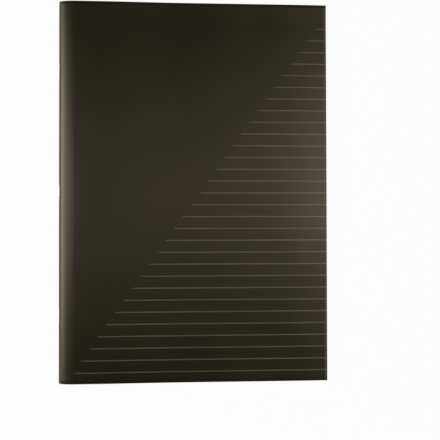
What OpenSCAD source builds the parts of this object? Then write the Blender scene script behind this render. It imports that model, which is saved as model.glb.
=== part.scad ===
// Saddle-stitched notebook in a plastic cover, closed and lying on its back.
// X runs from the fold to the fore-edge, Y up the page to the head, Z up.

/* [Cover] */
// Width of the closed cover, from the fold to the fore-edge
cover_w = 210; // [140:1:230]
// Height of the cover, from tail to head
cover_h = 297; // [200:1:320]
// Thickness of the cover sheet
cover_t = 0.5; // [0.3:0.05:0.6]
// Air between the cover sheet and the pages
cover_gap = 0.15; // [0.1:0.05:0.25]

/* [Pages] */
// Number of leaves, two to each folded sheet
leaf_count = 48; // [44:2:96]
// Thickness of one leaf in the closed block
leaf_t = 0.1; // [0.09:0.01:0.12]
// How far the cover reaches past the pages at the fore-edge
fore_overhang = 1.5; // [0.5:0.1:4]
// How far the cover reaches past the pages at the head and at the tail
end_overhang = 1; // [0.2:0.1:3]

/* [Fold] */
// Distance from the fold over which the sheet curves round the pages
fold_len = 13; // [6:0.5:16]
// Rise of the front beside the fold, where the folded sheets spring apart
spine_swell = 2; // [0.2:0.1:2.5]
// Distance from the fold at which that rise has died out
swell_len = 100; // [40:1:120]
// Angle round the fold, from its middle, at which each cover leaf swings
hinge_angle = 40; // [30:1:55]

/* [Fore-edge] */
// How far the front sinks at the fore-edge, where the leaves lie closest
fore_sink = 0.5; // [0:0.05:0.6]
// Distance from the fore-edge over which it sinks
sink_len = 34; // [15:1:60]

/* [Staples] */
// Number of staples along the fold
staple_count = 3; // [2:1:3]
// Distance between neighbouring staples
staple_pitch = 93; // [60:1:93]
// Length of the crown on the outside of the fold
crown_len = 12; // [8:0.5:16]
// Diameter of the wire
wire_d = 0.6; // [0.4:0.05:0.8]
// Depth to which the crown is pressed into the cover sheet
crown_sink = 0.3; // [0.1:0.01:0.3]
// Length of each leg that is folded over in the gutter
clinch_len = 4.4; // [2:0.1:5]
// Play between the wire and its holes
wire_play = 0.08; // [0.08:0.01:0.12]

/* [Ruled relief] */
// Distance from the head to the first line
first_line = 19.2; // [12:0.1:40]
// Distance between neighbouring lines
line_pitch = 9.28; // [6:0.01:15]
// Least distance from the last line to the tail
tail_margin = 8.5; // [4:0.1:20]
// Height at which the diagonal that ends the lines leaves the fore-edge, below the head
diagonal_drop = 6.5; // [4:0.1:10]
// Width of a line
line_w = 0.8; // [0.5:0.1:1.5]
// Height of a line above the sheet
line_relief = 0.1; // [0.04:0.01:0.2]

/* [Hidden] */
$fn = 32;

cover_color = "#211f1a";
paper_color = "#f3f1e8";
wire_color = "#b9bbbd";

// The closed stack, from the table up
block_t = leaf_count * leaf_t;
wrap_t = cover_t + cover_gap;
book_t = block_t + 2 * wrap_t;
fold_z = book_t / 2;
crest_h = fold_z + spine_swell;

// Facets of the fold from its middle to the hinge, from there to the flat, and along the swell and the sink
core_steps = 8;
flank_steps = 10;
swell_steps = 12;
sink_steps = 8;
side_steps = core_steps + flank_steps;

// The pages inside the cover
block_w = cover_w - fore_overhang;
block_h = cover_h - 2 * end_overhang;

// The wire's path: the crown outside, the legs through the fold, the ends in the gutter
wire_r = wire_d / 2;
bend_r = 0.8 * wire_d;
hole_r = wire_r + wire_play;
crown_x = crown_sink - wire_r;
gutter_x = wrap_t + block_t / 2 + wire_r;
crown_out = wire_r - crown_x;
leg_y = crown_len / 2 - wire_r;

// The lines stop where one more would pass the tail margin
line_count = floor((cover_h - first_line - tail_margin) / line_pitch) + 1;
line_root = cover_t / 2;

// Angles round the fold from its middle to the flat, with one of them at the hinge
side_angles = concat(
    [for (i = [0:core_steps - 1]) hinge_angle * i / core_steps],
    [for (i = [0:flank_steps]) hinge_angle + (90 - hinge_angle) * i / flank_steps]
);

// A point of the sheet's outer face at an angle round the fold, below the middle where it is negative
function fold_point(angle) = [
    fold_len * (1 - cos(angle)),
    fold_z + (angle < 0 ? fold_z : crest_h) * sin(angle)
];

// How far the front still stands above the flat beside the fold, and how far it has sunk near the fore-edge
function swell(x) =
    x < swell_len ? spine_swell * (1 + cos(180 * (x - fold_len) / (swell_len - fold_len))) / 2 : 0;
function sink(x) = fore_sink * pow(max(x - sink_x, 0) / (cover_w - sink_x), 2);

// Height of the front's outer face at a distance from the fold, past the curved stretch
function front_z(x) = book_t + swell(x) - sink(x);

// Distances from the fold at which the front's outer face bends
sink_x = max(cover_w - sink_len, swell_len);
front_stations = concat(
    [for (i = [1:swell_steps]) fold_len + (swell_len - fold_len) * i / swell_steps],
    [for (i = [1:sink_steps - 1]) sink_x + (cover_w - sink_x) * i / sink_steps]
);

// The outer face from the back's far edge, round the fold, to the front's far edge
function outer_path(far_x) = concat(
    [[far_x, 0]],
    [for (i = [side_steps:-1:1]) fold_point(-side_angles[i])],
    [for (angle = side_angles) fold_point(angle)],
    [for (x = front_stations) if (x < far_x) [x, front_z(x)]],
    [[far_x, front_z(far_x)]]
);

// The same path moved square to itself, towards the pages
function inner_path(path, depth) = [
    for (i = [0:len(path) - 1])
        let (
            step = path[min(i + 1, len(path) - 1)] - path[max(i - 1, 0)],
            run = step / norm(step)
        )
        path[i] + depth * [run.y, -run.x]
];

// Places on the path where the cover leaves swing
back_hinge = side_steps - core_steps + 1;
front_hinge = side_steps + core_steps + 1;
path_end = len(outer_path(cover_w)) - 1;

// Moves a shape drawn from the fold to the middle of the notebook
module in_frame() {
    translate([-(cover_w - crown_out) / 2, 0, 0]) children();
}

// Runs a cross-section along the fold
module along_fold(length) {
    rotate([90, 0, 0]) linear_extrude(length, center = true) children();
}

// Cross-section of the cover sheet between two places on the path
module sheet_section(from, to) {
    outer = outer_path(cover_w);
    inner = inner_path(outer, cover_t);
    polygon(concat(
        [for (i = [from:to]) outer[i]],
        [for (i = [to:-1:from]) inner[i]]
    ));
}

// Puts one staple's worth of wire or holes at each place along the fold
module at_staples() {
    for (i = [0:staple_count - 1])
        translate([0, (i - (staple_count - 1) / 2) * staple_pitch, fold_z]) children();
}

// Room for one staple: a groove under the crown, two leg holes and the gutter channel
module staple_room() {
    reach = 2 * (leg_y + hole_r);
    translate([crown_x, 0, 0]) rotate([90, 0, 0]) cylinder(h = reach, r = hole_r, center = true);
    translate([gutter_x, 0, 0]) rotate([90, 0, 0]) cylinder(h = reach, r = hole_r, center = true);
    for (side = [-1, 1])
        translate([crown_x, side * leg_y, 0]) rotate([0, 90, 0]) cylinder(h = gutter_x - crown_x, r = hole_r);
}

// A quarter turn of wire about the origin, from +X to +Y
module wire_bend() {
    rotate_extrude(angle = 90) translate([bend_r, 0]) circle(wire_r);
}

// Half of a staple, from the middle of its crown to the end of one clinched leg
module half_staple() {
    bend_y = leg_y - bend_r;
    translate([crown_x, 0, 0]) rotate([-90, 0, 0]) cylinder(h = bend_y, r = wire_r);
    translate([crown_x + bend_r, bend_y, 0]) rotate([0, 0, 90]) wire_bend();
    translate([crown_x + bend_r, leg_y, 0]) rotate([0, 90, 0])
        cylinder(h = gutter_x - crown_x - 2 * bend_r, r = wire_r);
    translate([gutter_x - bend_r, bend_y, 0]) wire_bend();
    translate([gutter_x, leg_y - clinch_len, 0]) rotate([-90, 0, 0])
        cylinder(h = clinch_len - bend_r, r = wire_r);
}

// The nested folded sheets, as one solid with a rounded back and a trimmed fore-edge
module page_block() {
    color(paper_color) in_frame() difference() {
        along_fold(block_h) polygon(inner_path(outer_path(block_w), wrap_t));
        at_staples() staple_room();
    }
}

// The stretch of the cover sheet round the fold, which the staples pin to the pages
module cover_spine() {
    color(cover_color) in_frame() difference() {
        along_fold(cover_h) sheet_section(back_hinge, front_hinge);
        at_staples() staple_room();
    }
}

// One raised line, which follows the sheet's outer face to the fore-edge
module ruled_line(start_x) {
    stations = concat([start_x], [for (x = front_stations) if (x > start_x) x], [cover_w]);
    along_fold(line_w) polygon(concat(
        [for (x = stations) [x, front_z(x) + line_relief]],
        [for (i = [len(stations) - 1:-1:0]) [stations[i], front_z(stations[i]) - line_root]]
    ));
}

// The front leaf of the cover, with lines that a diagonal cuts short
module front_cover() {
    color(cover_color) in_frame() {
        along_fold(cover_h) sheet_section(front_hinge, path_end);
        for (i = [0:line_count - 1]) {
            drop = first_line + i * line_pitch;
            start_x = max(cover_w * (1 - (drop - diagonal_drop) / cover_h), fold_len);
            translate([0, cover_h / 2 - drop, 0]) ruled_line(start_x);
        }
    }
}

// The back leaf of the cover, plain, which lies on the table
module back_cover() {
    color(cover_color) in_frame() along_fold(cover_h) sheet_section(0, back_hinge);
}

// Wire staples through the fold, each with its crown outside and its ends closed in the gutter
module staples() {
    color(wire_color) in_frame() at_staples() {
        half_staple();
        mirror([0, 1, 0]) half_staple();
    }
}

page_block();
cover_spine();
front_cover();
back_cover();
staples();
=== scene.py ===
import math
import random

import bmesh
import bpy
import numpy as np
from mathutils import Matrix, Vector


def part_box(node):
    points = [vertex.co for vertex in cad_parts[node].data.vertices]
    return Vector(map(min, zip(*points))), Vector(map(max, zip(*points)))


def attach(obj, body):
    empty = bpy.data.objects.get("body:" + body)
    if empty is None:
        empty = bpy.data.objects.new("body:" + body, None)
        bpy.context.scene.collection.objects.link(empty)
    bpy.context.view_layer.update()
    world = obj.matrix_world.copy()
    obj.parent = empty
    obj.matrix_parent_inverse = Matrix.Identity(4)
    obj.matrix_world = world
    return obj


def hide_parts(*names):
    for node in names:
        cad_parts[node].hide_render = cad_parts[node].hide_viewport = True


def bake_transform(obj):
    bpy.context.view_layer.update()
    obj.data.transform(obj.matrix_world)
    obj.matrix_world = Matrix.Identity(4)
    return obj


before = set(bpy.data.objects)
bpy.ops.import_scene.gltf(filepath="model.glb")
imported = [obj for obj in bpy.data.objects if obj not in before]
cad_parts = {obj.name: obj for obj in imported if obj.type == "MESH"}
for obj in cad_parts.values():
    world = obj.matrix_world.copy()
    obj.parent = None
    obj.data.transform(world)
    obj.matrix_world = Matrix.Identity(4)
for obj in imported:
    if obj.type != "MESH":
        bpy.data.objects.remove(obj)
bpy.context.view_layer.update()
random.seed(48)

# Pages: 24 sheets of off-white writing paper, nested, folded once and trimmed after folding.
# The back half lies flat. The front half springs up beside the fold and is pressed thin at the fore-edge.
sheet_count = 24
leaf_pitch = 0.0001
paper_thickness = 0.000085
fold_squeeze = 0.7
inner_sharpness = 0.65
cover_thickness = 0.0005
cover_wrap = 0.00065
closed_height = 0.0061
fold_height = closed_height / 2
fold_reach = 0.013
spine_swell = 0.002
swell_reach = 0.1
cover_width = 0.21
cover_height = 0.297
fore_sink = 0.0005
sink_start = 0.176
page_width = 0.2085
page_height = 0.295
trim_play = 0.00012
paper_smoothing = math.radians(35)
fold_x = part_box("cover_spine")[0].x


def front_height(x):
    """Height of the front's outer face at a distance x from the fold, past the curved stretch."""
    swell = 0.0
    if x < swell_reach:
        swell = spine_swell * (1 + math.cos(math.pi * (x - fold_reach) / (swell_reach - fold_reach))) / 2
    sink = fore_sink * (max(x - sink_start, 0) / (cover_width - sink_start)) ** 2
    return closed_height + swell - sink


def leaf_height(x, leaf):
    """Height of one of the 48 leaves, counted from the table, at a distance x from the fold.

    Where the block is thinner than its leaves, both halves share what is left evenly.
    """
    room = front_height(x) - 2 * cover_wrap
    back_half = sheet_count * min(leaf_pitch, room / (2 * sheet_count))
    if leaf < sheet_count:
        return cover_wrap + back_half * (leaf + 0.5) / sheet_count
    return cover_wrap + back_half + (room - back_half) * (leaf - sheet_count + 0.5) / sheet_count


def select_where(piece, keep):
    """In edit mode, selects the vertices whose place passes the test, and nothing else."""
    mesh = bmesh.from_edit_mesh(piece.data)
    for vertex in mesh.verts:
        vertex.select_set(bool(keep(vertex.co)))
    mesh.select_flush_mode()
    bmesh.update_edit_mesh(piece.data)


def draw_sheet(name, outline, tail, head, rows):
    """Extrudes one straight edge along an outline of (x, z) points, measured from the fold."""
    bpy.ops.object.select_all(action="DESELECT")
    bpy.ops.mesh.primitive_plane_add(size=head - tail, location=(0, (head + tail) / 2, 0))
    sheet = bpy.context.object
    sheet.name = name
    sheet.data.name = name
    bpy.ops.object.transform_apply(location=True, rotation=True, scale=True)
    bpy.ops.object.mode_set(mode="EDIT")
    select_where(sheet, lambda place: place.x > 0)
    bpy.ops.mesh.delete(type="VERT")
    bpy.ops.mesh.select_all(action="SELECT")
    if rows > 1:
        bpy.ops.mesh.subdivide(number_cuts=rows - 1)
    from_plane_edge = (head - tail) / 2 + fold_x + outline[0][0]
    bpy.ops.transform.translate(value=(from_plane_edge, 0, outline[0][1]))
    for here, there in zip(outline, outline[1:]):
        step = (there[0] - here[0], 0, there[1] - here[1])
        bpy.ops.mesh.extrude_region_move(TRANSFORM_OT_translate={"value": step})
    bpy.ops.mesh.select_all(action="SELECT")
    outward = Vector((outline[0][1] - outline[1][1], 0, outline[1][0] - outline[0][0]))
    bpy.ops.object.mode_set(mode="OBJECT")
    first = min(sheet.data.polygons, key=lambda face: abs(face.center.x - fold_x - outline[0][0])
                + abs(face.center.z - outline[0][1]))
    if first.normal.dot(outward) < 0:
        bpy.ops.object.mode_set(mode="EDIT")
        bpy.ops.mesh.flip_normals()
        bpy.ops.object.mode_set(mode="OBJECT")
    return sheet


def nested_outline(depth):
    """Outline of one folded sheet, from its back edge round the fold to its front edge.

    The deeper a sheet lies, the tighter its fold and the squarer its turn.
    """
    top_leaf = 2 * sheet_count - 1 - depth
    trim = page_width + random.uniform(-trim_play, trim_play)
    nose_x = cover_wrap + leaf_pitch * (depth + 0.5)
    squareness = 1 - inner_sharpness * depth / (sheet_count - 1)
    far = [0.2, 0.192, 0.184, 0.176, 0.15, 0.12]
    near = [0.1, 0.09, 0.08, 0.07, 0.06, 0.05, 0.04, 0.03, 0.024, 0.018]
    outline = [(trim, leaf_height(trim, depth))]
    outline += [(x, leaf_height(x, depth)) for x in far + near]
    turns = [90, 80, 70, 60, 50, 40, 30, 20, 12, 5, 1.5, 0]
    for side, leaf in ((-1, depth), (1, top_leaf)):
        rise = leaf_height(fold_reach, leaf) - fold_height
        for turn in (turns if side < 0 else turns[-2::-1]):
            angle = math.radians(turn)
            x = fold_reach - (fold_reach - nose_x) * math.cos(angle)
            outline.append((x, fold_height + rise * math.sin(angle) ** squareness))
    outline += [(x, leaf_height(x, top_leaf)) for x in (far + near)[::-1]]
    outline.append((trim, leaf_height(trim, top_leaf)))
    return outline


def keep_modifier(piece, kind, **settings):
    """Adds a modifier with these settings and applies it."""
    bpy.ops.object.select_all(action="DESELECT")
    piece.select_set(True)
    bpy.context.view_layer.objects.active = piece
    modifier = piece.modifiers.new(kind.title(), kind)
    for setting, value in settings.items():
        setattr(modifier, setting, value)
    bpy.ops.object.modifier_apply(modifier=modifier.name)


folded_sheets = []
for depth in range(sheet_count):
    tail = -page_height / 2 + random.uniform(-trim_play, trim_play)
    head = page_height / 2 + random.uniform(-trim_play, trim_play)
    folded = draw_sheet(f"page_sheet_{depth}", nested_outline(depth), tail, head, 1)
    squeeze = folded.vertex_groups.new(name="squeeze")
    for vertex in folded.data.vertices:
        across = min(max((vertex.co.x - fold_x - fold_reach / 2) / fold_reach, 0), 1)
        squeeze.add([vertex.index], fold_squeeze + (1 - fold_squeeze) * across, "REPLACE")
    keep_modifier(folded, "SOLIDIFY", thickness=paper_thickness, offset=0, vertex_group="squeeze")
    folded_sheets.append(folded)
bpy.ops.object.select_all(action="DESELECT")
for folded in folded_sheets:
    folded.select_set(True)
page_sheets = folded_sheets[0]
bpy.context.view_layer.objects.active = page_sheets
bpy.ops.object.join()
page_sheets.name = "page_sheets"
page_sheets.data.name = "page_sheets"
page_sheets.vertex_groups.clear()
bpy.ops.object.shade_smooth_by_angle(angle=paper_smoothing)


def new_group(name, inputs, outputs):
    """An empty shader group with these sockets, and its two end nodes."""
    group = bpy.data.node_groups.new(name, "ShaderNodeTree")
    for socket, kind, value in inputs:
        made = group.interface.new_socket(name=socket, in_out="INPUT", socket_type=kind)
        if value is not None:
            made.default_value = value
    for socket, kind in outputs:
        group.interface.new_socket(name=socket, in_out="OUTPUT", socket_type=kind)
    return group, group.nodes.new("NodeGroupInput"), group.nodes.new("NodeGroupOutput")


def add_node(tree, kind, **settings):
    """Adds a node. Settings that are names of inputs set their values, and the rest set the node."""
    node = tree.nodes.new("ShaderNode" + kind)
    for setting, value in settings.items():
        words = setting.replace("_", " ").title()
        if hasattr(node, setting):
            setattr(node, setting, value)
        else:
            node.inputs[words].default_value = value
    return node


def grain_group():
    """Fine random grain in the surface: a height for a Bump node and a mask of the same grain."""
    group, start, end = new_group(
        "surface_grain",
        [("Vector", "NodeSocketVector", None), ("Grain Size", "NodeSocketFloat", 0.0003),
         ("Mottle Size", "NodeSocketFloat", 0.03)],
        [("Height", "NodeSocketFloat"), ("Mottle", "NodeSocketFloat")],
    )
    fineness = add_node(group, "Math", operation="DIVIDE")
    fineness.inputs[0].default_value = 1.0
    group.links.new(start.outputs["Grain Size"], fineness.inputs[1])
    fine = add_node(group, "TexNoise", scale=1.0, detail=3.0, roughness=0.6)
    group.links.new(start.outputs["Vector"], fine.inputs["Vector"])
    group.links.new(fineness.outputs[0], fine.inputs["Scale"])
    breadth = add_node(group, "Math", operation="DIVIDE")
    breadth.inputs[0].default_value = 1.0
    group.links.new(start.outputs["Mottle Size"], breadth.inputs[1])
    broad = add_node(group, "TexNoise", scale=1.0, detail=2.0, roughness=0.5)
    group.links.new(start.outputs["Vector"], broad.inputs["Vector"])
    group.links.new(breadth.outputs[0], broad.inputs["Scale"])
    group.links.new(fine.outputs["Fac"], end.inputs["Height"])
    group.links.new(broad.outputs["Fac"], end.inputs["Mottle"])
    return group


surface_grain = grain_group()


def new_material(name):
    """A material with its Principled BSDF ready."""
    material = bpy.data.materials.new(name)
    material.use_nodes = True
    return material, material.node_tree, material.node_tree.nodes["Principled BSDF"]


def writing_paper():
    """Uncoated paper: off-white, softly mottled, with short fibres that roughen it."""
    material, tree, surface = new_material("writing_paper")
    place = add_node(tree, "TexCoord")
    grain = add_node(tree, "Group", node_tree=surface_grain)
    grain.inputs["Grain Size"].default_value = 0.00045
    grain.inputs["Mottle Size"].default_value = 0.012
    tree.links.new(place.outputs["Object"], grain.inputs["Vector"])
    tint = add_node(tree, "ValToRGB")
    tint.color_ramp.elements[0].position = 0.3
    tint.color_ramp.elements[0].color = (0.862, 0.85, 0.79, 1)
    tint.color_ramp.elements[1].position = 0.7
    tint.color_ramp.elements[1].color = (0.888, 0.878, 0.82, 1)
    tree.links.new(grain.outputs["Mottle"], tint.inputs["Fac"])
    fibre = add_node(tree, "TexNoise", scale=2600.0, detail=4.0, roughness=0.7)
    stretch = add_node(tree, "Mapping")
    stretch.inputs["Scale"].default_value = (1.0, 0.35, 1.0)
    tree.links.new(place.outputs["Object"], stretch.inputs["Vector"])
    tree.links.new(stretch.outputs["Vector"], fibre.inputs["Vector"])
    flecks = add_node(tree, "Mix", data_type="RGBA", blend_type="MULTIPLY")
    flecks.inputs["Factor"].default_value = 0.06
    tree.links.new(tint.outputs["Color"], flecks.inputs["A"])
    tree.links.new(fibre.outputs["Color"], flecks.inputs["B"])
    tree.links.new(flecks.outputs["Result"], surface.inputs["Base Color"])
    bump = add_node(tree, "Bump", strength=0.25, distance=0.00003)
    tree.links.new(grain.outputs["Height"], bump.inputs["Height"])
    tree.links.new(bump.outputs["Normal"], surface.inputs["Normal"])
    surface.inputs["Roughness"].default_value = 0.86
    surface.inputs["Specular IOR Level"].default_value = 0.3
    return material


page_sheets.data.materials.append(writing_paper())
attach(page_sheets, "pages")
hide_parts("page_block")

# Cover: one sheet of warm black satin plastic, 0.5 mm thick, die-cut square and folded round the pages.
# The staples pin its nose, so front and back swing on the sheet's own bend just beside it.
# Here it is two pieces that meet edge to edge along the middle of the nose.
tail_end = -cover_height / 2
head_end = cover_height / 2
hinge_turn = 40
bend_turn = 26
crest_rise = fold_height + spine_swell
row_count = 270
cut_edge_round = 0.00022
seam_reach = 0.0012
seam_half_height = 0.0003
cover_smoothing = math.radians(40)
staple_places = [-0.093, 0.0, 0.093]
crown_half = 0.0057
dent_depth = 0.0003
dent_spread = 0.0034


def nose_point(turn, rise):
    """A point of the outer face at an angle round the fold, where rise is the way up or down to the flat."""
    angle = math.radians(turn)
    return (fold_reach * (1 - math.cos(angle)), fold_height + rise * math.sin(angle))


def nose_turns():
    """Angles round the fold, closest together where the sheet bends when a cover opens."""
    turns = [hinge_turn * i / 10 for i in range(10)]
    turns += [hinge_turn + bend_turn * i / 18 for i in range(18)]
    turns += [hinge_turn + bend_turn + (90 - hinge_turn - bend_turn) * i / 9 for i in range(10)]
    return turns


def distances_along(outline):
    """Distance of each point of an outline from its start."""
    travelled = [0.0]
    for here, there in zip(outline, outline[1:]):
        travelled.append(travelled[-1] + math.dist(here, there))
    return travelled


def lay_flat(sheet, outline):
    """Keeps each point's place on the unfolded sheet, so that the finish follows the plastic."""
    travelled = np.array(distances_along(outline))
    corners = np.array(outline)
    found = sheet.data.attributes.new("laid_flat", "FLOAT_VECTOR", "POINT")
    places = np.array([vertex.co for vertex in sheet.data.vertices])
    across = places[:, [0, 2]] - (fold_x, 0)
    nearest = ((across[:, None, :] - corners[None, :, :]) ** 2).sum(2).argmin(1)
    flat = np.column_stack([travelled[nearest], places[:, 1], np.zeros(len(places))])
    found.data.foreach_set("vector", flat.astype(np.float32).ravel())


def press_dents(sheet):
    """Presses the nose of the fold in where the staples' crowns lie."""
    for middle in staple_places:
        bpy.ops.object.select_all(action="DESELECT")
        sheet.select_set(True)
        bpy.context.view_layer.objects.active = sheet
        bpy.ops.object.mode_set(mode="EDIT")
        select_where(sheet, lambda place: place.x < fold_x + 1e-6 and abs(place.y - middle) < crown_half)
        bpy.ops.transform.translate(
            value=(dent_depth, 0, 0), use_proportional_edit=True,
            proportional_edit_falloff="SMOOTH", proportional_size=dent_spread,
        )
        bpy.ops.object.mode_set(mode="OBJECT")


def round_cut_edges(sheet):
    """Takes the sharpness off the cut edges, but not off the line where the two pieces meet."""
    bpy.ops.object.mode_set(mode="EDIT")
    mesh = bmesh.from_edit_mesh(sheet.data)
    for edge in mesh.edges:
        near_seam = all(vertex.co.x < fold_x + seam_reach
                        and abs(vertex.co.z - fold_height) < seam_half_height for vertex in edge.verts)
        along_seam = near_seam and abs(edge.verts[0].co.y - edge.verts[1].co.y) > 1e-5
        sharp = len(edge.link_faces) == 2 and edge.calc_face_angle(0) > math.radians(60)
        edge.select_set(sharp and not along_seam)
    bmesh.update_edit_mesh(sheet.data)
    bpy.ops.mesh.bevel(offset=cut_edge_round, segments=2, affect="EDGES")
    bpy.ops.object.mode_set(mode="OBJECT")


def give_thickness(sheet):
    """Thickens the sheet towards the pages, rounds its cut edges and smooths its faces."""
    keep_modifier(sheet, "SOLIDIFY", thickness=cover_thickness, offset=-1, use_even_offset=True)
    round_cut_edges(sheet)
    bpy.ops.object.shade_smooth_by_angle(angle=cover_smoothing)


swell_step = 0.0035
front_reaches = [fold_reach + swell_step * i for i in range(1, 26)]
front_reaches += [0.108, 0.116, 0.125, 0.134, 0.143, 0.152, 0.16, 0.168, 0.176]
front_reaches += [0.18, 0.184, 0.188, 0.192, 0.196, 0.2, 0.204, 0.2075, cover_width]
front_outline = [nose_point(turn, crest_rise) for turn in nose_turns()]
front_outline += [(x, front_height(x)) for x in front_reaches]
back_outline = [nose_point(turn, -fold_height) for turn in nose_turns()]
back_outline += [(x, 0.0) for x in (0.02, 0.04, 0.07, 0.1, 0.13, 0.16, 0.185, cover_width)]

front_ripple = bpy.data.textures.new("front_ripple", "CLOUDS")
front_ripple.noise_scale = 0.05
front_ripple.noise_depth = 1
ripple_height = 0.00016
held_reach = 0.02
loosening_reach = 0.03
head_curl = 0.0004
curl_reach = 0.018


def lift_front(piece, share, **settings):
    """Lifts the front by a share of its own at each place, which dies out where the fold holds it."""
    loose = piece.vertex_groups.new(name="loose")
    for vertex in piece.data.vertices:
        free = min(max((vertex.co.x - fold_x - held_reach) / loosening_reach, 0), 1)
        loose.add([vertex.index], free * share(vertex.co), "REPLACE")
    keep_modifier(piece, "DISPLACE", direction="Z", vertex_group="loose", **settings)
    piece.vertex_groups.clear()


def ripple_front(piece):
    """Lets the front lie a little unevenly."""
    lift_front(piece, lambda place: 1, texture=front_ripple, texture_coords="LOCAL", mid_level=0.5,
               strength=ripple_height)


def curl_head(sheet):
    """Lets the front curl up a little along its head, above the first line."""
    lift_front(sheet, lambda place: max(1 - (head_end - place.y) / curl_reach, 0) ** 2,
               mid_level=0, strength=head_curl)


cover_front_sheet = draw_sheet("cover_front_sheet", front_outline, tail_end, head_end, row_count)
lay_flat(cover_front_sheet, front_outline)
press_dents(cover_front_sheet)
ripple_front(cover_front_sheet)
curl_head(cover_front_sheet)
give_thickness(cover_front_sheet)

cover_back_sheet = draw_sheet("cover_back_sheet", back_outline[::-1], tail_end, head_end, row_count)
lay_flat(cover_back_sheet, back_outline)
press_dents(cover_back_sheet)
give_thickness(cover_back_sheet)

# Bands where the nose and cut edges are painted paler: rubbed wear, and along the cut edges a painted glint
# of light.
rub_and_glint_reach = 0.0022
fore_rub_and_glint_reach = 0.0025
nose_rub_reach = 0.003
nose_rub_full = 0.0004
sheet_reach = distances_along(front_outline)[-1]


def wear_and_glint_group():
    """Marks by place on the flat sheet: a rubbed nose and cut edges, whose mask also paints a glint along the
    cut edges, and soft smudges.
    """
    group, start, end = new_group(
        "wear_and_edge_glint", [("Vector", "NodeSocketVector", None)],
        [("Rub And Glint", "NodeSocketFloat"), ("Smudge", "NodeSocketFloat")],
    )
    ways = add_node(group, "SeparateXYZ")
    group.links.new(start.outputs["Vector"], ways.inputs["Vector"])
    from_middle = add_node(group, "Math", operation="ABSOLUTE")
    group.links.new(ways.outputs["Y"], from_middle.inputs[0])
    rub_and_glint = None
    for source, least, most in ((from_middle.outputs[0], head_end - rub_and_glint_reach, head_end),
                                (ways.outputs["X"], sheet_reach - fore_rub_and_glint_reach, sheet_reach),
                                (ways.outputs["X"], nose_rub_reach, nose_rub_full)):
        near = add_node(group, "MapRange")
        near.inputs["From Min"].default_value = least
        near.inputs["From Max"].default_value = most
        group.links.new(source, near.inputs["Value"])
        if rub_and_glint is None:
            rub_and_glint = near.outputs["Result"]
            continue
        either = add_node(group, "Math", operation="MAXIMUM")
        group.links.new(rub_and_glint, either.inputs[0])
        group.links.new(near.outputs["Result"], either.inputs[1])
        rub_and_glint = either.outputs[0]
    uneven = add_node(group, "TexNoise", scale=420.0, detail=3.0, roughness=0.6)
    group.links.new(start.outputs["Vector"], uneven.inputs["Vector"])
    broken = add_node(group, "Math", operation="MULTIPLY")
    group.links.new(rub_and_glint, broken.inputs[0])
    group.links.new(uneven.outputs["Fac"], broken.inputs[1])
    group.links.new(broken.outputs[0], end.inputs["Rub And Glint"])
    drawn_out = add_node(group, "Mapping")
    drawn_out.inputs["Rotation"].default_value = (0, 0, 0.5)
    drawn_out.inputs["Scale"].default_value = (1.0, 0.45, 1.0)
    group.links.new(start.outputs["Vector"], drawn_out.inputs["Vector"])
    greasy = add_node(group, "TexNoise", scale=34.0, detail=3.0, roughness=0.55)
    group.links.new(drawn_out.outputs["Vector"], greasy.inputs["Vector"])
    marks = add_node(group, "MapRange")
    marks.inputs["From Min"].default_value = 0.52
    marks.inputs["From Max"].default_value = 0.72
    group.links.new(greasy.outputs["Fac"], marks.inputs["Value"])
    group.links.new(marks.outputs["Result"], end.inputs["Smudge"])
    return group


wear_and_edge_glint = wear_and_glint_group()


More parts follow.
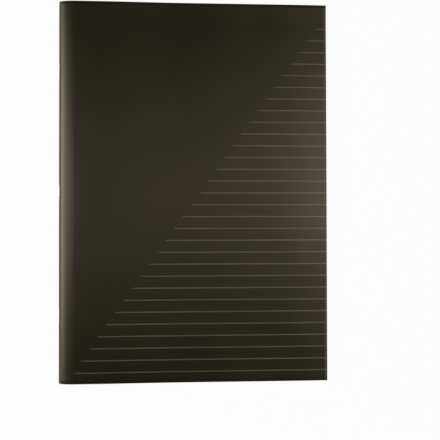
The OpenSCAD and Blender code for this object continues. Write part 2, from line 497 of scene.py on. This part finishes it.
def satin_plastic(name, dark, pale, rub_and_glint, roughness, shine):
    """Satin plastic sheet: near-black, with a fine sand grain, faint mottling, and a paler colour on the
    rubbed nose and cut edges, which along the cut edges is a painted glint.
    """
    material, tree, surface = new_material(name)
    place = add_node(tree, "Attribute", attribute_name="laid_flat")
    wear_glint_node = add_node(tree, "Group", node_tree=wear_and_edge_glint)
    tree.links.new(place.outputs["Vector"], wear_glint_node.inputs["Vector"])
    grain = add_node(tree, "Group", node_tree=surface_grain)
    grain.inputs["Grain Size"].default_value = 0.00035
    grain.inputs["Mottle Size"].default_value = 0.04
    tree.links.new(place.outputs["Vector"], grain.inputs["Vector"])
    tint = add_node(tree, "ValToRGB")
    tint.color_ramp.elements[0].position = 0.25
    tint.color_ramp.elements[0].color = (*dark, 1)
    tint.color_ramp.elements[1].position = 0.75
    tint.color_ramp.elements[1].color = (*pale, 1)
    tree.links.new(grain.outputs["Mottle"], tint.inputs["Fac"])
    # Paler colour on the rubbed nose and cut edges: rubbed wear, and along the cut edges a painted glint.
    rub_and_glint_mix = add_node(tree, "Mix", data_type="RGBA")
    rub_and_glint_mix.inputs["B"].default_value = (*rub_and_glint, 1)
    tree.links.new(wear_glint_node.outputs["Rub And Glint"], rub_and_glint_mix.inputs["Factor"])
    tree.links.new(tint.outputs["Color"], rub_and_glint_mix.inputs["A"])
    tree.links.new(rub_and_glint_mix.outputs["Result"], surface.inputs["Base Color"])
    gloss = add_node(tree, "MapRange")
    gloss.inputs["From Min"].default_value = 0.3
    gloss.inputs["From Max"].default_value = 0.7
    gloss.inputs["To Min"].default_value = roughness - 0.012
    gloss.inputs["To Max"].default_value = roughness + 0.012
    tree.links.new(grain.outputs["Mottle"], gloss.inputs["Value"])
    polished = add_node(tree, "Math", operation="MULTIPLY_ADD")
    polished.inputs[1].default_value = -0.13
    tree.links.new(wear_glint_node.outputs["Rub And Glint"], polished.inputs[0])
    tree.links.new(gloss.outputs["Result"], polished.inputs[2])
    smeared = add_node(tree, "Math", operation="MULTIPLY_ADD")
    smeared.inputs[1].default_value = 0.018
    tree.links.new(wear_glint_node.outputs["Smudge"], smeared.inputs[0])
    tree.links.new(polished.outputs[0], smeared.inputs[2])
    tree.links.new(smeared.outputs[0], surface.inputs["Roughness"])
    bump = add_node(tree, "Bump", strength=0.28, distance=0.00002)
    tree.links.new(grain.outputs["Height"], bump.inputs["Height"])
    tree.links.new(bump.outputs["Normal"], surface.inputs["Normal"])
    surface.inputs["Specular Tint"].default_value = (1.0, 0.86, 0.6, 1)
    surface.inputs["Specular IOR Level"].default_value = shine
    surface.inputs["IOR"].default_value = 1.5
    return material


satin_roughness = 0.332
cover_plastic = satin_plastic(
    "cover_plastic", dark=(0.0034, 0.003, 0.0011), pale=(0.0046, 0.004, 0.0015),
    rub_and_glint=(0.02, 0.018, 0.013), roughness=satin_roughness, shine=0.5,
)
cover_front_sheet.data.materials.append(cover_plastic)
cover_back_sheet.data.materials.append(cover_plastic)
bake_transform(cover_front_sheet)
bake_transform(cover_back_sheet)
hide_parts("front_cover", "cover_spine")
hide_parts("back_cover")

# Ruling: 30 narrow ribs raised in the front's plastic, coloured paler than the cover as a painted highlight
# for the light the ribs catch.
# All run to the fore-edge, and a diagonal from the fold's tail to the fore-edge's head ends them on the left.
line_count = 30
first_line = 0.0192
line_pitch = 0.00928
line_width = 0.0008
line_relief = 0.0001
line_top = 0.00053
line_root = 2 * line_width - line_top
line_corner = 0.00003
line_run_out = 0.003
line_end_gap = 0.00012
line_smoothing = math.radians(60)
diagonal_drop = 0.0065
line_reaches = [x for x in front_reaches if x < cover_width] + [cover_width - line_end_gap]

bpy.ops.object.select_all(action="DESELECT")
bpy.ops.mesh.primitive_plane_add(
    size=1, rotation=(0, math.radians(90), 0), location=(fold_x + fold_reach, 0, front_height(fold_reach)),
)
rib = bpy.context.object
rib.name = "rib"
bpy.ops.object.transform_apply(location=True, rotation=True, scale=True)
bpy.ops.object.mode_set(mode="EDIT")
bpy.ops.mesh.select_all(action="SELECT")
bpy.ops.transform.resize(value=(1, line_root, 2 * line_relief))
select_where(rib, lambda place: place.z > front_height(fold_reach))
bpy.ops.transform.resize(value=(1, line_top / line_root, 1))
bpy.ops.mesh.bevel(offset=line_corner, segments=2, affect="VERTICES")
bpy.ops.mesh.select_all(action="SELECT")
here = (fold_reach, front_height(fold_reach))
for x in line_reaches:
    there = (x, front_height(x))
    step = (there[0] - here[0], 0, there[1] - here[1])
    bpy.ops.mesh.extrude_region_move(TRANSFORM_OT_translate={"value": step})
    here = there
bpy.ops.object.mode_set(mode="OBJECT")
rib.data.transform(Matrix.Translation((0, head_end - first_line, 0)))
ribs = [rib]
for line in range(1, line_count):
    copied = rib.copy()
    copied.data = rib.data.copy()
    copied.data.transform(Matrix.Translation((0, -line * line_pitch, 0)))
    bpy.context.collection.objects.link(copied)
    ribs.append(copied)
bpy.ops.object.select_all(action="DESELECT")
for copied in ribs:
    copied.select_set(True)
cover_ruling = rib
bpy.context.view_layer.objects.active = cover_ruling
bpy.ops.object.join()
cover_ruling.name = "cover_ruling"
cover_ruling.data.name = "cover_ruling"
bpy.ops.object.mode_set(mode="EDIT")
diagonal_foot = Vector((fold_x + cover_width, head_end - diagonal_drop, 0))
diagonal_side = Vector((1, -cover_width / cover_height, 0))
bpy.ops.mesh.select_all(action="SELECT")
bpy.ops.mesh.bisect(plane_co=diagonal_foot + Vector((line_run_out, 0, 0)), plane_no=diagonal_side)
bpy.ops.mesh.select_all(action="SELECT")
bpy.ops.mesh.bisect(plane_co=diagonal_foot, plane_no=diagonal_side, use_fill=True, clear_inner=True)
select_where(cover_ruling, lambda place: abs((place - diagonal_foot).dot(diagonal_side)) < 0.00001)
bpy.ops.transform.translate(value=(0, 0, -line_relief))
bpy.ops.mesh.select_all(action="SELECT")
bpy.ops.mesh.normals_make_consistent(inside=False)
bpy.ops.object.mode_set(mode="OBJECT")
ripple_front(cover_ruling)
lay_flat(cover_ruling, front_outline)
bpy.ops.object.shade_smooth_by_angle(angle=line_smoothing)
# The ribs' paler colour is a painted highlight, standing in for the light their flanks catch.
cover_ruling.data.materials.append(satin_plastic(
    "ruled_plastic", dark=(0.0145, 0.0135, 0.0105), pale=(0.0175, 0.016, 0.0125),
    rub_and_glint=(0.03, 0.028, 0.023), roughness=satin_roughness, shine=1.0,
))
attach(cover_ruling, "front")

# Staples: three of galvanised steel wire, driven in through the nose and clinched flat in the gutter.
# Each crown lies outside, pressed half its depth into the plastic.
wire_radius = 0.0003
wire_sides = 16
bend_radius = 0.00048
crown_x = fold_x
leg_place = 0.0057
gutter_x = fold_x + 0.00335
clinch_length = 0.0044
driven_flat = 0.00006
end_round = 0.00006
end_swell = 0.00004
wire_smoothing = math.radians(50)

bpy.ops.object.select_all(action="DESELECT")
bpy.ops.mesh.primitive_circle_add(
    vertices=wire_sides, radius=wire_radius, fill_type="NOTHING", rotation=(math.radians(90), 0, 0),
    location=(crown_x, 0, fold_height),
)
staple = bpy.context.object
staple.name = "staple_middle"
staple.data.name = "staple_middle"
bpy.ops.object.transform_apply(location=True, rotation=True, scale=True)
bend_place = leg_place - bend_radius
bpy.ops.object.mode_set(mode="EDIT")
bpy.ops.mesh.select_all(action="SELECT")
for stretch in (0.4, 0.35, 0.25):
    bpy.ops.mesh.extrude_region_move(TRANSFORM_OT_translate={"value": (0, stretch * bend_place, 0)})
bpy.ops.mesh.spin(steps=8, angle=math.radians(90), center=(crown_x + bend_radius, bend_place, fold_height),
                  axis=(0, 0, 1))
leg_run = gutter_x - crown_x - 2 * bend_radius
bpy.ops.mesh.extrude_region_move(TRANSFORM_OT_translate={"value": (leg_run, 0, 0)})
bpy.ops.mesh.spin(steps=8, angle=math.radians(90), center=(gutter_x - bend_radius, bend_place, fold_height),
                  axis=(0, 0, 1))
bpy.ops.mesh.extrude_region_move(TRANSFORM_OT_translate={"value": (0, bend_radius - clinch_length, 0)})
bpy.ops.mesh.edge_face_add()
bpy.ops.mesh.inset(thickness=end_round)
bpy.ops.transform.translate(value=(0, -end_swell, 0))
bpy.ops.mesh.select_all(action="SELECT")
bpy.ops.mesh.remove_doubles(threshold=0.000002)
select_where(staple, lambda place: place.x < crown_x - 0.8 * wire_radius and place.y < 0.9 * bend_place)
bpy.ops.transform.translate(value=(driven_flat, 0, 0))
bpy.ops.object.mode_set(mode="OBJECT")
keep_modifier(staple, "MIRROR", use_axis=(False, True, False), use_clip=True, merge_threshold=0.00001)
bpy.ops.object.mode_set(mode="EDIT")
bpy.ops.mesh.select_all(action="SELECT")
bpy.ops.mesh.normals_make_consistent(inside=False)
bpy.ops.object.mode_set(mode="OBJECT")
bpy.ops.object.shade_smooth_by_angle(angle=wire_smoothing)


def galvanised_wire():
    """Drawn steel wire under a thin zinc coat: grey, dull in patches, with fine marks along its length."""
    material, tree, surface = new_material("galvanised_wire")
    place = add_node(tree, "TexCoord")
    stretch = add_node(tree, "Mapping")
    stretch.inputs["Scale"].default_value = (1.0, 0.08, 1.0)
    tree.links.new(place.outputs["Object"], stretch.inputs["Vector"])
    marks = add_node(tree, "TexNoise", scale=14000.0, detail=3.0, roughness=0.6)
    tree.links.new(stretch.outputs["Vector"], marks.inputs["Vector"])
    patches = add_node(tree, "TexNoise", scale=900.0, detail=2.0, roughness=0.5)
    tree.links.new(place.outputs["Object"], patches.inputs["Vector"])
    tint = add_node(tree, "ValToRGB")
    tint.color_ramp.elements[0].position = 0.35
    tint.color_ramp.elements[0].color = (0.6, 0.6, 0.61, 1)
    tint.color_ramp.elements[1].position = 0.65
    tint.color_ramp.elements[1].color = (0.78, 0.78, 0.79, 1)
    tree.links.new(patches.outputs["Fac"], tint.inputs["Fac"])
    tree.links.new(tint.outputs["Color"], surface.inputs["Base Color"])
    gloss = add_node(tree, "MapRange")
    gloss.inputs["To Min"].default_value = 0.26
    gloss.inputs["To Max"].default_value = 0.46
    tree.links.new(patches.outputs["Fac"], gloss.inputs["Value"])
    tree.links.new(gloss.outputs["Result"], surface.inputs["Roughness"])
    bump = add_node(tree, "Bump", strength=0.3, distance=0.00001)
    tree.links.new(marks.outputs["Fac"], bump.inputs["Height"])
    tree.links.new(bump.outputs["Normal"], surface.inputs["Normal"])
    surface.inputs["Metallic"].default_value = 1.0
    return material


staple.data.materials.append(galvanised_wire())
for name, middle in zip(("staple_tail", "staple_middle", "staple_head"), staple_places):
    driven = staple
    if middle:
        driven = staple.copy()
        driven.data = staple.data.copy()
        driven.name = name
        driven.data.name = name
        driven.data.transform(Matrix.Translation((0, middle, 0)))
        bpy.context.collection.objects.link(driven)
    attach(driven, "pages")
    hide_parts("staples")

# Studio: a white floor that rises to a low rim all round, so that the ground is white from every side.
# It glows for the camera and in reflections alone, and a share of plain paint keeps the contact shadow.
rim_points = [(2.2, 0.0), (2.5, 0.03), (2.75, 0.12), (2.9, 0.28), (2.97, 0.5), (3.0, 1.0)]
glow_share = 0.94
room_level = 0.02
bpy.ops.object.select_all(action="DESELECT")
bpy.ops.mesh.primitive_circle_add(vertices=96, radius=rim_points[0][0], fill_type="NGON", location=(0, 0, 0))
floor = bpy.context.object
floor.name = "studio_floor"
floor.data.name = "studio_floor"
bpy.ops.object.mode_set(mode="EDIT")
bpy.ops.mesh.select_all(action="DESELECT")
select_where(floor, lambda place: place.length > 1)
bpy.ops.mesh.inset(thickness=0.2)
mesh = bmesh.from_edit_mesh(floor.data)
for edge in mesh.edges:
    edge.select_set(edge.is_boundary)
bmesh.update_edit_mesh(floor.data)
for here, there in zip(rim_points, rim_points[1:]):
    widen = there[0] / here[0]
    bpy.ops.mesh.extrude_region_move(TRANSFORM_OT_translate={"value": (0, 0, there[1] - here[1])})
    bpy.ops.transform.resize(value=(widen, widen, 1))
bpy.ops.object.mode_set(mode="OBJECT")
bpy.ops.object.shade_smooth()


def seen_directly(tree):
    """1 on rays from the camera, off shiny things and through clear ones, and 0 on rays that light things."""
    paths = add_node(tree, "LightPath")
    seen = add_node(tree, "Math", operation="ADD")
    tree.links.new(paths.outputs["Is Camera Ray"], seen.inputs[0])
    tree.links.new(paths.outputs["Is Glossy Ray"], seen.inputs[1])
    seen_through = add_node(tree, "Math", operation="ADD")
    tree.links.new(seen.outputs[0], seen_through.inputs[0])
    tree.links.new(paths.outputs["Is Transmission Ray"], seen_through.inputs[1])
    return seen_through.outputs[0]


floor_white = bpy.data.materials.new("floor_white")
floor_white.use_nodes = True
tree = floor_white.node_tree
tree.nodes.clear()
end = tree.nodes.new("ShaderNodeOutputMaterial")
paint = add_node(tree, "BsdfDiffuse")
paint.inputs["Color"].default_value = (0.8, 0.8, 0.8, 1)
glow = add_node(tree, "Emission")
glow.inputs["Color"].default_value = (1, 1, 1, 1)
glow.inputs["Strength"].default_value = 1.0
share = add_node(tree, "Math", operation="MULTIPLY")
share.inputs[1].default_value = glow_share
tree.links.new(seen_directly(tree), share.inputs[0])
blended = add_node(tree, "MixShader")
tree.links.new(share.outputs[0], blended.inputs["Fac"])
tree.links.new(paint.outputs["BSDF"], blended.inputs[1])
tree.links.new(glow.outputs["Emission"], blended.inputs[2])
tree.links.new(blended.outputs["Shader"], end.inputs["Surface"])
floor.data.materials.append(floor_white)

# The room: nearly dark, with a white band above the rim that is seen in the same way as the floor.
room = bpy.data.worlds.new("room")
room.use_nodes = True
tree = room.node_tree
sky = tree.nodes["Background"]
sky.inputs["Color"].default_value = (1, 1, 1, 1)
place = add_node(tree, "TexCoord")
ways = add_node(tree, "SeparateXYZ")
tree.links.new(place.outputs["Generated"], ways.inputs["Vector"])
band = add_node(tree, "MapRange")
band.inputs["From Min"].default_value = 0.36
band.inputs["From Max"].default_value = 0.5
band.inputs["To Min"].default_value = 1.0
band.inputs["To Max"].default_value = 0.0
tree.links.new(ways.outputs["Z"], band.inputs["Value"])
shown = add_node(tree, "Math", operation="MULTIPLY")
tree.links.new(band.outputs["Result"], shown.inputs[0])
tree.links.new(seen_directly(tree), shown.inputs[1])
level = add_node(tree, "MapRange")
level.inputs["To Min"].default_value = room_level
tree.links.new(shown.outputs[0], level.inputs["Value"])
tree.links.new(level.outputs["Result"], sky.inputs["Strength"])
bpy.context.scene.world = room


def softbox(name, place, width, length, watts):
    """A rectangular soft light at a place, turned to face the notebook."""
    lamp = bpy.data.lights.new(name, "AREA")
    lamp.shape = "RECTANGLE"
    lamp.size = width
    lamp.size_y = length
    lamp.energy = watts
    holder = bpy.data.objects.new(name, lamp)
    holder.location = place
    holder.rotation_euler = (-Vector(place)).to_track_quat("-Z", "Y").to_euler()
    bpy.context.scene.collection.objects.link(holder)


softbox("left_softbox", (-0.75, 0.09, 1.41), 0.3, 0.75, 3.25)
softbox("low_left_softbox", (-1.34, 0.1, 0.87), 0.8, 0.95, 11.5)
softbox("nose_softbox", (-1.44, 0.1, 0.72), 0.8, 0.38, 4.4)
softbox("right_softbox", (0.54, 0.12, 1.5), 0.3, 0.3, 2.3)
softbox("wide_right_softbox", (0.85, 0, 1.35), 1.6, 0.3, 4)
softbox("overhead_softbox", (0.05, 0.08, 1.6), 0.3, 0.3, 0.57)
softbox("tail_softbox", (0.05, -1.45, 0.5), 1.4, 0.8, 8)
softbox("fore_softbox", (1.5, 0.2, 0.5), 1.2, 0.8, 4.5)
softbox("head_softbox", (0, 1.5, 0.6), 1.2, 0.8, 4)

# Camera: 0.6 m above the notebook and a little to its left, looking down almost square to the cover.
# The lens is given by its distance from a picture of 440 pixels, in those pixels.
lens_pixels = 759
picture_pixels = 440
camera_data = bpy.data.cameras.new("camera")
camera_data.sensor_width = 36
camera_data.lens = lens_pixels / picture_pixels * camera_data.sensor_width
camera = bpy.data.objects.new("camera", camera_data)
camera.location = (-0.01597, -0.0313, 0.6)
camera.rotation_euler = (math.radians(0.91), math.radians(-3.51), math.radians(-0.117))
bpy.context.scene.collection.objects.link(camera)
bpy.context.scene.camera = camera
bpy.context.scene.view_settings.view_transform = "Standard"
